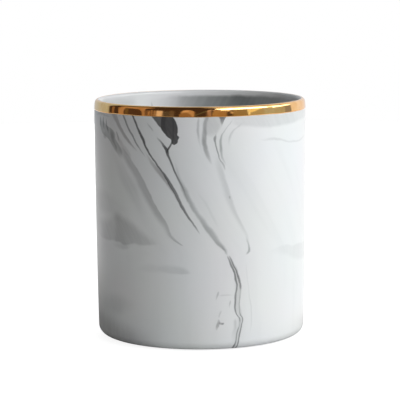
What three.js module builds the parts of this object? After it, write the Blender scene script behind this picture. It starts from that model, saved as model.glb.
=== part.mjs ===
// Ceramic pen holder: a straight-sided porcelain cup with a marbled glaze and a gold lustre rim,
// standing on four soft pads stuck inside its foot ring.
// Millimetres, +Z up. The origin is the middle of the plane that the pads stand on.
import * as THREE from "three";

// Outside of the cup
const cupHeight = 95; // foot ring to the crest of the lip
const rimRadius = 42.5; // outer wall just under the lip
const wallTaper = 0.8; // how much smaller the outer radius is just above the foot round
const wallSwell = 0.2; // how far the wall stands out half way up, from a straight taper
const footRound = 3.5; // round that turns the wall in to the foot ring

// Inside of the cup
const lipThickness = 2.6; // the lip is a full round of this width
const wallThickness = 3.4; // wall just above the inner cove
const floorThickness = 4.2;
const coveRadius = 6; // inner corner between wall and floor

// Underside
const footRingWidth = 4.2; // flat, unglazed ring that the kiln shelf touched
const recessDepth = 1; // how far the glazed underside lies above the foot ring
const recessRound = 0.8; // round in the corner between the foot ring and the underside

// Gold lustre rim
const lustreHeight = 3.9; // crest of the lip to the lower edge of the gold
const lustreThickness = 0.3;

// Soft pads
const padCount = 4;
const padRadius = 5;
const padClearance = 3; // from a pad's edge to the foot ring around it
const padStandOff = 0.6; // how far a pad stands out below the foot ring
const padEdge = 0.4; // bevel round a pad's lower face

// Smoothness of the turned shapes
const cupSegments = 80;
const padSegments = 24;
const roundSteps = 6;
const wallSteps = 7;

// Heights and radii that follow from the sizes above
const baseRadius = rimRadius - wallTaper;
const footZ = padStandOff;
const undersideZ = footZ + recessDepth;
const floorZ = undersideZ + floorThickness;
const crestZ = footZ + cupHeight;
const lipRound = lipThickness / 2;
const wallTopZ = crestZ - lipRound;
const wallFootZ = footZ + footRound;
const lustreFootZ = crestZ - lustreHeight;
const footRingRadius = baseRadius - footRound;
const recessRadius = footRingRadius - footRingWidth;
const innerRimRadius = rimRadius - lipThickness;
const innerBaseRadius = baseRadius - wallThickness;
const padCircleRadius = recessRadius - padClearance - padRadius; // pad centres lie on this circle

// Outer wall's radius at a height: a straight taper with a slight swell, as a slip-cast wall has.
function wallRadius(z) {
  const t = (z - wallFootZ) / (wallTopZ - wallFootZ);
  return THREE.MathUtils.lerp(baseRadius, rimRadius, t) + 4 * wallSwell * t * (1 - t);
}

// Points of the outer wall between two heights, set in by a depth.
function wallPoints(fromZ, toZ, steps, inset = 0) {
  const points = [];
  for (let i = 0; i <= steps; i++) {
    const z = THREE.MathUtils.lerp(fromZ, toZ, i / steps);
    points.push(new THREE.Vector2(wallRadius(z) - inset, z));
  }
  return points;
}

// Points of an arc in the section plane, from one angle in degrees to another.
function arcPoints(centreR, centreZ, radius, fromDeg, toDeg, steps = roundSteps) {
  const from = THREE.MathUtils.degToRad(fromDeg);
  const to = THREE.MathUtils.degToRad(toDeg);
  const arc = new THREE.EllipseCurve(centreR, centreZ, radius, radius, from, to, toDeg < fromDeg);
  return arc.getPoints(steps);
}

// Drops each point that repeats the one before it, where two stretches of a section join.
function joined(...stretches) {
  const nearest = 1e-4;
  return stretches.flat().filter((p, i, all) => i === 0 || p.distanceTo(all[i - 1]) > nearest);
}

// Turns a section about the cup's upright axis.
function turned(section, segments) {
  return new THREE.LatheGeometry(section, segments).rotateX(Math.PI / 2);
}

function material(name, colour, roughness, metalness) {
  return new THREE.MeshStandardMaterial({ name, color: colour, roughness, metalness });
}

const marbledGlaze = material("marbled_glaze", 0xd9dadb, 0.32, 0);
const goldLustre = material("gold_lustre", 0xc98f3c, 0.14, 1);
const softPad = material("soft_pad", 0x2b2b2c, 0.85, 0);

// The gold follows the wall up and over the outer half of the lip, and ends on its crest.
function lustreOuterFace() {
  const lipCentreR = rimRadius - lipRound;
  return joined(
    wallPoints(lustreFootZ, wallTopZ, 1),
    arcPoints(lipCentreR, wallTopZ, lipRound, 0, 90),
  );
}

// The seat under the gold: the same line, set in by the gold's thickness.
function lustreSeat() {
  const lipCentreR = rimRadius - lipRound;
  return joined(
    wallPoints(lustreFootZ, wallTopZ, 1, lustreThickness),
    arcPoints(lipCentreR, wallTopZ, lipRound - lustreThickness, 0, 90),
  );
}

// The cup is one fired piece: foot ring, rounded foot, tall wall, full-round lip, coved inside
// and recessed underside.
function ceramicCup() {
  const underside = [
    new THREE.Vector2(0, undersideZ),
    ...arcPoints(recessRadius - recessRound, undersideZ - recessRound, recessRound, 90, 0, 3),
    new THREE.Vector2(recessRadius, footZ),
  ];
  const foot = arcPoints(footRingRadius, wallFootZ, footRound, 270, 360);
  const bareWall = wallPoints(wallFootZ, lustreFootZ, wallSteps);
  const innerLip = arcPoints(innerRimRadius + lipRound, wallTopZ, lipRound, 90, 180);
  const cove = arcPoints(innerBaseRadius - coveRadius, floorZ + coveRadius, coveRadius, 360, 270);
  const section = joined(
    underside,
    foot,
    bareWall,
    lustreSeat(),
    innerLip,
    cove,
    [new THREE.Vector2(0, floorZ)],
  );
  const cup = new THREE.Mesh(turned(section, cupSegments), marbledGlaze);
  cup.name = "ceramic_cup";
  return cup;
}

// A thin skin of gold, flush with the wall below it.
function goldRim() {
  const outer = lustreOuterFace();
  const section = [...outer, ...lustreSeat().reverse(), outer[0].clone()];
  const rim = new THREE.Mesh(turned(section, cupSegments), goldLustre);
  rim.name = "gold_rim";
  return rim;
}

// One stick-on pad: its upper face lies against the underside and its lower face on the desk.
function footPad(index) {
  const section = [
    new THREE.Vector2(0, 0),
    new THREE.Vector2(padRadius - padEdge, 0),
    new THREE.Vector2(padRadius, padEdge),
    new THREE.Vector2(padRadius, undersideZ),
    new THREE.Vector2(0, undersideZ),
  ];
  const pad = new THREE.Mesh(turned(section, padSegments), softPad);
  const angle = ((index + 0.5) / padCount) * 2 * Math.PI;
  pad.position.set(padCircleRadius * Math.cos(angle), padCircleRadius * Math.sin(angle), 0);
  pad.name = `foot_pad_${index + 1}`;
  return pad;
}

const penHolder = new THREE.Group();
penHolder.add(ceramicCup(), goldRim());
for (let i = 0; i < padCount; i++) {
  penHolder.add(footPad(i));
}

export default penHolder;
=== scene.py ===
import math

import bmesh
import bpy
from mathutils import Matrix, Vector


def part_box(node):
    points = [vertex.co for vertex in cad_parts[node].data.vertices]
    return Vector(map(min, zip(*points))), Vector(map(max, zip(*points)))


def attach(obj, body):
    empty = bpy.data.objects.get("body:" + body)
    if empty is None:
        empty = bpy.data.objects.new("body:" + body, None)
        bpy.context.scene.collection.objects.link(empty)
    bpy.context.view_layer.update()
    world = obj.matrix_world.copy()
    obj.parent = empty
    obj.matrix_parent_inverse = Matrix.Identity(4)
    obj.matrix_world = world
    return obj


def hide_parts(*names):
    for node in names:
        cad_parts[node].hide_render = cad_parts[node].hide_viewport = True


MM = 0.001
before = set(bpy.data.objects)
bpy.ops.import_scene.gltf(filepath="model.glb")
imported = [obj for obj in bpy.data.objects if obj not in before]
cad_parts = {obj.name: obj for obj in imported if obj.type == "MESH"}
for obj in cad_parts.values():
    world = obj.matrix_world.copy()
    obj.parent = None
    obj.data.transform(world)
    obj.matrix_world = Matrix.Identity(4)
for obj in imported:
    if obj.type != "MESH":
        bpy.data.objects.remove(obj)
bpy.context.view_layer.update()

cup_low, cup_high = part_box("ceramic_cup")
gold_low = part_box("gold_rim")[0]
PADS = [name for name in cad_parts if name.startswith("foot_pad")]

# Sizes that the frame gives
RIM_RADIUS = cup_high.x / MM
FOOT_Z = cup_low.z / MM
CREST_Z = cup_high.z / MM
LUSTRE_FOOT_Z = gold_low.z / MM

# The cup's own sizes
WALL_TAPER = 0.8
WALL_SWELL = 0.2
FOOT_ROUND = 3.5
LIP_THICKNESS = 2.6
WALL_THICKNESS = 3.4
FLOOR_THICKNESS = 4.2
COVE_RADIUS = 6
FOOT_RING_WIDTH = 4.2
RING_EDGE = 0.1
RECESS_DEPTH = 1
RECESS_ROUND = 0.8
PAD_EDGE = 0.4

# The gold: its seat and film, how far it has leant in where the lip's round begins, how far the seat runs
# on below it, and over what height the bare wall runs in to the seat
LUSTRE_SEAT = 0.07
LUSTRE_FILM = 0.1
LUSTRE_LEAN = 10
SEAT_OVERLAP = 0.6
SEAT_RUN_IN = 5

# Where the gold ends on the lip's round, where the seat under it does, and where the inner lip begins
GOLD_END = 90
SEAT_END = 80
INNER_LIP_START = 102

# The gold's lower edge wanders in waves: size, number round the cup and lag, and how far up they reach
EDGE_WAVES = ((0.05, 5, 20), (0.035, 13, 75), (0.02, 31, 160))
EDGE_REACH = 1

# Smoothness: steps round an axis, and steps along each stretch of a section
CUP_TURN_STEPS = 256
PAD_TURN_STEPS = 64
ROUND_STEPS = 14
WALL_STEPS = 40
INNER_WALL_STEPS = 30
LEAN_STEPS = 12
INNER_LIP_STEPS = 10
RECESS_STEPS = 5
PAD_EDGE_STEPS = 6
MERGE_DISTANCE = 1e-6

BASE_RADIUS = RIM_RADIUS - WALL_TAPER
LIP_ROUND = LIP_THICKNESS / 2
LIP_CENTRE = RIM_RADIUS - LIP_ROUND
WALL_FOOT_Z = FOOT_Z + FOOT_ROUND
WALL_TOP_Z = CREST_Z - LIP_ROUND
UNDERSIDE_Z = FOOT_Z + RECESS_DEPTH
FLOOR_Z = UNDERSIDE_Z + FLOOR_THICKNESS
COVE_Z = FLOOR_Z + COVE_RADIUS
FOOT_RING_RADIUS = BASE_RADIUS - FOOT_ROUND
RECESS_RADIUS = FOOT_RING_RADIUS - FOOT_RING_WIDTH
INNER_RIM_RADIUS = RIM_RADIUS - LIP_THICKNESS
INNER_BASE_RADIUS = BASE_RADIUS - WALL_THICKNESS
LEAN_TOP_Z = WALL_TOP_Z + LIP_ROUND * math.sin(math.radians(LUSTRE_LEAN))

# The photograph's camera, fitted to the cup's outline
CAMERA_DISTANCE = 786
CAMERA_ELEVATION = 8.195
AIM_LEFT = 0.18
AIM_HEIGHT = 53.5
CAMERA_ROLL = -0.378
LENS = 174.3
SENSOR_WIDTH = 36
CAMERA_REACH = (0.01, 10)

# Glaze: its white and the three inks that the marbling and the painted shade are drawn in, as what each
# leaves of the white
GLAZE_WHITE = (0.83, 0.83, 0.825, 1)
INKS = {
    "charcoal": (0.075, 0.075, 0.078, 1),
    "slate": (0.11, 0.13, 0.13, 1),
    "umber": (0.19, 0.16, 0.165, 1),
}

# How far the veins wander, how unevenly their ink lies outside and inside, how dark the clouding gets,
# how far the white strays in hue, how deep the surface ripples, and its lowest and highest roughness
VEIN_WANDER = 1.6
OUTER_STREAKS = 0.12
INNER_STREAKS = 0.08
CLOUDING = 0.035
WHITE_HUES = 0.05
GLAZE_RIPPLE = 0.012
GLAZE_ROUGHNESS = (0.295, 0.33)

# The marbling was dragged sideways on its way down, by this angle for each millimetre above the bend
DRAG_PER_MM = 0.836
DRAG_BEND = 38
DRAG_STRETCH = 0.12

# The other finishes
CLAY = (0.72, 0.7, 0.65, 1)
CLAY_PITS = (0.55, 0.5, 0.42, 1)
CLAY_ROUGHNESS = (0.8, 0.92)
CLAY_GRAIN_DEPTH = 0.03
GOLD = (0.9, 0.6, 0.27, 1)
GOLD_MOTTLE = (0.94, 0.86, 0.72, 1)
GOLD_THIN_EDGE = (0.82, 0.68, 0.55, 1)
GOLD_ROUGHNESS = (0.05, 0.11)
GOLD_RIPPLE = 0.05
RUBBER = (0.03, 0.03, 0.032, 1)
RUBBER_PORES = (0.5, 0.5, 0.5, 1)
RUBBER_ROUGHNESS = (0.78, 0.95)
RUBBER_GRAIN_DEPTH = 0.08

# Between these two values lies nearly all of a noise
NOISE_SPAN = (0.3, 0.7)

# A Mix node's sockets for colours
MIX_INPUTS = (0, 6, 7)
MIX_OUTPUT = 2

# The cup's finishes, in the order of its material slots
OUTER_GLAZE, INNER_GLAZE, UNDERSIDE_GLAZE, BARE_CLAY = range(4)

# Charts: the side that faces the camera, the back, and the inside of the back wall as the camera sees it.
# An angle on a chart starts at its middle line and grows to the right of whoever looks at it.
FRONT = (1, -1)
BACK = (-1, 1)
INSIDE_BACK = (1, 1)
INSIDE_FRONT = (-1, -1)

# Veins that run down the wall: ink, how far the left and right edges fade, and stations of
# (height above the foot, angle, half width, darkness)
FRONT_VEINS = {
    "long vein": ("charcoal", 0.55, 0.55, [
        (92, -38.9, 0.75, 0.88), (87.5, -35.1, 0.8, 0.88), (83, -31.8, 0.92, 0.93), (80, -30, 0.76, 0.93),
        (76.5, -27.2, 0.7, 0.9), (72.5, -22.9, 0.66, 0.82), (67.5, -17.7, 0.9, 0.78),
        (64, -14.8, 1.05, 0.74), (60, -11.8, 0.95, 0.74), (55, -8.2, 0.85, 0.74), (50, -3.9, 0.7, 0.66),
        (47.6, -1.8, 0.55, 0.44), (46, -0.5, 0.3, 0.2), (44.8, 0.5, 0.1, 0)]),
    "shade beside the long vein": ("umber", 1.2, 0.6, [
        (77.5, -30, 0.4, 0), (74.6, -27.5, 1, 0.26), (72.5, -25.2, 1.3, 0.38), (70.9, -23.3, 1.4, 0.44),
        (67.7, -19.6, 1.4, 0.46), (64.5, -16.6, 1, 0.4), (60, -12.9, 0.7, 0.34), (56.5, -10, 0.4, 0)]),
    "second vein": ("charcoal", 0.5, 0.5, [
        (92, -45.3, 0.68, 0.58), (88, -42.3, 0.7, 0.64), (85, -39.5, 0.7, 0.6), (80, -35.1, 0.64, 0.56),
        (78, -33, 0.55, 0.4), (76, -30.7, 0.4, 0.25), (75, -29.6, 0.15, 0)]),
    "purple streak": ("umber", 1.4, 0.7, [
        (92, -53.5, 2.2, 0.34), (89, -50.6, 1.9, 0.44), (85, -45.9, 1.5, 0.46), (81, -41, 1.3, 0.5),
        (79, -38, 1, 0.34), (76.5, -34.5, 0.6, 0)]),
    "haze under the purple streak": ("umber", 1.5, 1.5, [
        (84, -51, 1, 0), (80.5, -47, 2, 0.22), (77, -42.5, 2, 0.22), (74, -39, 1, 0)]),
    "feathered smudge": ("slate", 1.2, 1.4, [
        (89.4, -66, 1, 0), (88.2, -65.4, 2, 0.16), (86.6, -64, 3.4, 0.44), (85.3, -61, 5.2, 0.48),
        (84, -58.9, 6, 0.46), (82.4, -57.2, 5, 0.47), (80.6, -53.7, 3.5, 0.48), (78.6, -50.4, 3.3, 0.44),
        (76.6, -48.2, 2.7, 0.36), (75, -47, 1.7, 0.16), (73.6, -46, 1, 0)]),
    "smudge's dark heart": ("charcoal", 1.3, 1.2, [
        (85.4, -55.5, 1, 0), (84, -54.4, 1.7, 0.3), (82.4, -54, 1.8, 0.4), (80.6, -53.4, 1.5, 0.28),
        (79.2, -51.8, 1.1, 0.32), (78.2, -50.7, 1, 0.42), (76.4, -50.2, 0.6, 0)]),
    "smudge's left lobe": ("charcoal", 0.9, 0.9, [
        (84, -60.5, 0.8, 0), (82.8, -61.8, 1.6, 0.16), (81.7, -61.8, 1.7, 0.3), (80.6, -61.4, 1.2, 0)]),
    "first finger": ("charcoal", 0.6, 0.6, [
        (89.6, -67.6, 0.3, 0), (88.6, -67.8, 0.7, 0.4), (86.4, -67.6, 1, 0.46), (84.8, -66.4, 0.8, 0)]),
    "second finger": ("charcoal", 0.4, 0.5, [
        (90.2, -63.2, 0.3, 0), (88.4, -63.4, 0.6, 0.5), (86.4, -63.2, 0.7, 0.48), (84.4, -62, 0.7, 0)]),
    "third finger": ("charcoal", 0.4, 0.4, [
        (89.4, -59.8, 0.3, 0), (88, -59.8, 0.55, 0.42), (86.4, -59.5, 0.8, 0.5), (85.2, -58.7, 0.9, 0.56),
        (83.6, -57.8, 0.5, 0.3), (82.4, -57.4, 0.3, 0)]),
    "fourth finger": ("charcoal", 0.5, 0.5, [
        (84.8, -49.7, 0.3, 0), (83.5, -49.2, 0.6, 0.36), (82, -48.6, 0.6, 0.36), (80.2, -47.4, 0.4, 0)]),
    "broad band": ("charcoal", 3.4, 0.8, [
        (79, -48.5, 2, 0), (76.5, -45.1, 2.7, 0.24), (72.5, -40.5, 2.8, 0.35), (67.5, -35.2, 2.8, 0.35),
        (62.5, -31.5, 2.8, 0.37), (57.5, -27.4, 2.6, 0.37), (52.5, -23, 2.5, 0.35), (48.5, -19.2, 2, 0.3),
        (45, -16.6, 1.4, 0.3), (43.2, -13.8, 0.9, 0.36), (42.2, -11.4, 0.7, 0.38), (41.6, -8.6, 0.4, 0)]),
    "hook of the broad band": ("slate", 0.7, 0.7, [
        (47, -17.4, 1, 0), (45, -15.6, 1.3, 0.12), (43.6, -13.6, 1.1, 0.28), (42.6, -11.8, 0.9, 0.34),
        (41.8, -10.2, 0.8, 0.24), (41.2, -8.8, 0.4, 0)]),
    "short stroke": ("charcoal", 0.4, 0.4, [
        (89, -29, 0.2, 0), (87.8, -27.7, 0.45, 0.24), (86.3, -26.2, 0.5, 0.28), (84.8, -24.8, 0.2, 0)]),
    "pool of ink": ("charcoal", 0.4, 0.4, [
        (92.5, -17.5, 2.3, 0.96), (91, -17.3, 2.45, 0.96), (90, -17, 2.8, 0.96), (88, -16.4, 3.4, 0.96),
        (86.8, -16.2, 3.55, 0.96), (85.6, -15.7, 3.3, 0.96), (84.3, -14.95, 2.55, 0.96),
        (83.6, -14.05, 2.5, 0.96), (82.4, -13.2, 1.65, 0.95), (81.4, -13.2, 1.35, 0.95),
        (80.9, -13.3, 0.7, 0.9), (80.5, -13.4, 0.1, 0)]),
    "pool's thin edge": ("charcoal", 0.7, 0.4, [
        (92.5, -22.3, 3.6, 0.82), (91, -21.8, 3.3, 0.86), (89.5, -21.2, 2.6, 0.88), (88, -20.6, 1.9, 0.88),
        (86.5, -19.3, 1.2, 0.84), (85, -18, 0.8, 0.62), (84, -17, 0.4, 0)]),
    "right branch": ("charcoal", 0.45, 0.45, [
        (82, -14.2, 0.5, 0.7), (80.5, -15.3, 0.62, 0.85), (79, -16.6, 0.65, 0.85), (77.8, -17.3, 0.5, 0.8),
        (76.8, -17.4, 0.2, 0)]),
    "left branch": ("charcoal", 0.45, 0.45, [
        (83.4, -23.4, 0.3, 0), (82.2, -21.8, 0.7, 0.38), (80.5, -19.3, 0.75, 0.75),
        (78.5, -17.7, 0.95, 0.92), (76.2, -16.9, 0.72, 0.88), (74, -15.7, 0.65, 0.85),
        (71.5, -14, 0.62, 0.82), (68.5, -12.1, 0.62, 0.72), (65, -10, 0.6, 0.5), (61.5, -8.1, 0.5, 0.25),
        (58, -5.8, 0.3, 0)]),
    "ribbon": ("slate", 1.1, 2, [
        (74, -13.8, 0.5, 0), (71.5, -12.1, 0.9, 0.3), (68, -10.6, 1.1, 0.36), (65, -9.3, 1.4, 0.42),
        (62.5, -8, 1.7, 0.46), (57.5, -4.4, 1.6, 0.48), (52.5, -0.2, 1.6, 0.4), (50, 2.1, 1.8, 0.43),
        (47.5, 4.6, 2, 0.46), (45, 6.8, 2, 0.44), (42.5, 9.5, 1.8, 0.5), (40.5, 12.1, 1.5, 0.6),
        (39.2, 13.4, 1.1, 0.7), (38, 13.8, 0.9, 0.55), (37, 14.1, 0.5, 0.2), (36.2, 14.4, 0.3, 0)]),
    "hair beside the ribbon": ("slate", 1, 1.3, [
        (64, -2.6, 0.5, 0), (61, 0, 0.9, 0.05), (57, 3.4, 1.1, 0.07), (52, 6.8, 1.1, 0.07),
        (47, 10, 0.6, 0)]),
    "left twin": ("charcoal", 0.35, 0.35, [
        (37.4, 14, 0.2, 0), (36, 14.7, 0.5, 0.5), (33, 16.5, 0.6, 0.68), (30, 18.3, 0.6, 0.7),
        (27, 19.2, 0.55, 0.66), (25, 19.5, 0.5, 0.6), (22, 18.6, 0.55, 0.6), (18, 18.3, 0.55, 0.64),
        (16, 18.4, 0.5, 0.64), (13.5, 19.8, 0.45, 0.62), (11.8, 20.9, 0.42, 0.55), (10, 20.7, 0.35, 0.3),
        (8, 19.8, 0.42, 0.5), (4, 18.8, 0.45, 0.52), (1, 17.9, 0.5, 0.66), (-1, 17.7, 0.45, 0.6)]),
    "right twin": ("charcoal", 0.35, 0.35, [
        (37.4, 14.9, 0.2, 0), (35.5, 16.2, 0.5, 0.55), (33, 17.8, 0.5, 0.64), (31, 19.3, 0.52, 0.66),
        (29, 20.3, 0.55, 0.68), (26.5, 21.1, 0.55, 0.68), (24.5, 21.3, 0.5, 0.6), (23, 21.2, 0.4, 0.25),
        (20, 21.1, 0.45, 0.36), (16.5, 20.7, 0.4, 0.34), (14, 21.3, 0.42, 0.5), (12.2, 22.6, 0.45, 0.62),
        (10, 22, 0.42, 0.56), (7, 21.2, 0.45, 0.6), (4, 20.5, 0.45, 0.66), (1, 19.9, 0.45, 0.68),
        (-1, 19.7, 0.45, 0.6)]),
    "wash between the twins": ("slate", 1.1, 1.1, [
        (38, 14.5, 0.8, 0), (35, 16, 1.3, 0.22), (30, 19.2, 1.5, 0.24), (24, 20.1, 1.7, 0.2),
        (18, 19.6, 1.7, 0.2), (13, 21, 1.5, 0.16), (5, 19.6, 1.6, 0.2), (-1, 18.6, 1.6, 0.2)]),
    "wash left of the twins": ("charcoal", 0.8, 0.6, [
        (13, 18.2, 0.5, 0), (11, 18.1, 0.9, 0.2), (8.5, 18, 0.9, 0.18), (5.5, 17.2, 1.1, 0.08),
        (2, 17, 1, 0)]),
    "faint line right of the twins": ("slate", 0.5, 0.5, [
        (36, 24, 0.3, 0), (30, 25, 0.5, 0.07), (22, 26.4, 0.5, 0.08), (14, 27.8, 0.5, 0.13),
        (10, 27.6, 0.5, 0.1), (5, 26, 0.3, 0)]),
    "first arc": ("charcoal", 0.7, 0.7, [
        (92, -0.8, 0.5, 0.1), (88, -0.8, 0.8, 0.3), (85.5, -0.8, 0.75, 0.3), (82, -0.3, 0.6, 0.14),
        (78, 1, 0.4, 0)]),
    "second arc": ("charcoal", 0.9, 1, [
        (92.5, 4.2, 1.1, 0.28), (89, 3, 1.15, 0.34), (86, 2.3, 1.2, 0.42), (82, 2, 1.25, 0.54),
        (80, 2.4, 1.2, 0.52), (78, 3.1, 1.2, 0.46), (76, 4.1, 1.1, 0.36), (74, 5.4, 0.8, 0.2),
        (72.6, 6.6, 0.3, 0)]),
    "wash between the arcs": ("charcoal", 1.4, 1.6, [
        (92.5, 7, 4.4, 0.2), (88, 6.5, 4, 0.2), (85.5, 5.8, 3.4, 0.18), (84.3, 5.6, 2.6, 0.1),
        (83, 5.6, 1.5, 0)]),
    "ink drop": ("charcoal", 0.8, 0.5, [
        (92.5, 11.8, 1.9, 0.78), (91, 11.6, 1.75, 0.78), (90, 11.4, 1.2, 0.7), (89, 11.2, 0.85, 0.55),
        (88, 11.1, 0.5, 0.25), (87, 11.1, 0.2, 0)]),
    "third arc": ("charcoal", 0.45, 0.45, [
        (85.2, 8.6, 0.2, 0), (84, 8, 0.5, 0.3), (82.7, 7.6, 0.75, 0.56), (80.5, 8, 0.5, 0.55),
        (78.5, 8.8, 0.5, 0.6), (76.5, 9.6, 0.5, 0.58), (74.8, 10.4, 0.5, 0.48), (73, 11.6, 0.6, 0.38),
        (71.5, 12.3, 0.5, 0.28), (70.3, 12.6, 0.3, 0)]),
    "fourth arc": ("slate", 0.5, 0.6, [
        (90, 17.6, 0.3, 0), (88.5, 16.2, 0.5, 0.22), (87, 14, 0.5, 0.26), (85.5, 12.4, 0.5, 0.28),
        (84, 11.3, 0.6, 0.4), (81.5, 10.9, 0.75, 0.46), (79, 10.9, 0.75, 0.44), (77, 11.3, 0.7, 0.34),
        (75, 12, 0.7, 0.24), (72, 13.5, 0.5, 0)]),
    "fifth arc": ("slate", 0.7, 1.5, [
        (89, 24, 0.5, 0.03), (87, 20.5, 0.9, 0.2), (85.5, 17.6, 0.9, 0.24), (84, 16.3, 0.9, 0.26),
        (82, 15.8, 0.8, 0.2), (79, 15.4, 0.5, 0)]),
    "hooked band": ("slate", 2.3, 1.3, [
        (77, 8, 1, 0), (74, 9, 1.6, 0.12), (70, 10.2, 1.9, 0.18), (66, 11.9, 2, 0.19), (62, 13.4, 2, 0.2),
        (57, 15.8, 1.9, 0.19), (52, 19, 1.7, 0.18), (48, 21.9, 1.4, 0.18), (44, 25, 1.1, 0.2),
        (41.5, 26.1, 0.9, 0.26), (39.5, 26.4, 0.85, 0.38), (38.4, 26.1, 0.95, 0.4), (37.6, 25, 0.9, 0.28),
        (36.8, 24, 0.5, 0)]),
    "line of the hook": ("slate", 0.6, 0.6, [
        (45, 24, 0.3, 0), (42.5, 25.4, 0.6, 0.24), (40.5, 26.3, 0.7, 0.36), (38.8, 26.6, 0.8, 0.42),
        (37.8, 25.9, 0.8, 0.36), (37, 24.8, 0.4, 0)]),
    "nick in the hooked band": ("charcoal", 0.3, 0.3, [
        (61, 14.9, 0.2, 0), (60.1, 15.1, 0.45, 0.26), (59, 15.4, 0.2, 0)]),
    "upper fleck": ("charcoal", 0.5, 0.5, [
        (24, 9.2, 0.3, 0), (22.5, 8.9, 0.65, 0.3), (21.2, 8.4, 0.6, 0.2), (19.8, 7.8, 0.3, 0)]),
    "middle fleck": ("charcoal", 0.5, 0.5, [
        (16.5, 10.8, 0.3, 0), (15, 10.2, 0.6, 0.2), (14, 9.6, 0.55, 0.18), (12.8, 9.2, 0.3, 0)]),
    "lower fleck": ("charcoal", 0.5, 0.5, [
        (13, 8.6, 0.3, 0), (11.5, 9.3, 0.8, 0.36), (10.3, 8.6, 0.9, 0.42), (8.8, 8, 0.6, 0.24),
        (7.8, 7.8, 0.3, 0)]),
    "side fleck": ("charcoal", 0.4, 0.4, [
        (20, 15.6, 0.2, 0), (18.8, 15.5, 0.5, 0.24), (17.2, 15.2, 0.35, 0.12), (16, 15.2, 0.2, 0)]),
    "left haze": ("charcoal", 3.5, 3.5, [
        (76, -50, 3, 0), (70, -46, 4.5, 0.07), (64, -41, 5, 0.13), (58, -36, 4.2, 0.08), (52, -32, 3, 0)]),
    "right side vein": ("charcoal", 0.45, 0.5, [
        (93, 97, 0.6, 0.7), (87, 99.5, 0.7, 0.8), (80, 105, 0.6, 0.7), (72, 108.5, 0.75, 0.8),
        (63, 116, 0.7, 0.75), (55, 121, 0.5, 0.6), (49, 126.5, 0.15, 0)]),
    "right side band": ("slate", 1.8, 0.9, [
        (93, 86, 1.8, 0.2), (84, 90, 2.2, 0.3), (74, 96, 2.4, 0.34), (62, 104, 2, 0.32),
        (52, 110, 1.6, 0.3), (45, 117, 1, 0.34), (41, 121, 0.4, 0)]),
    "left side vein": ("umber", 0.8, 0.6, [
        (84, -112, 0.3, 0), (76, -106, 1, 0.5), (66, -99, 1.2, 0.55), (56, -93.5, 0.9, 0.5),
        (49, -87, 0.3, 0)]),
}
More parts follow.
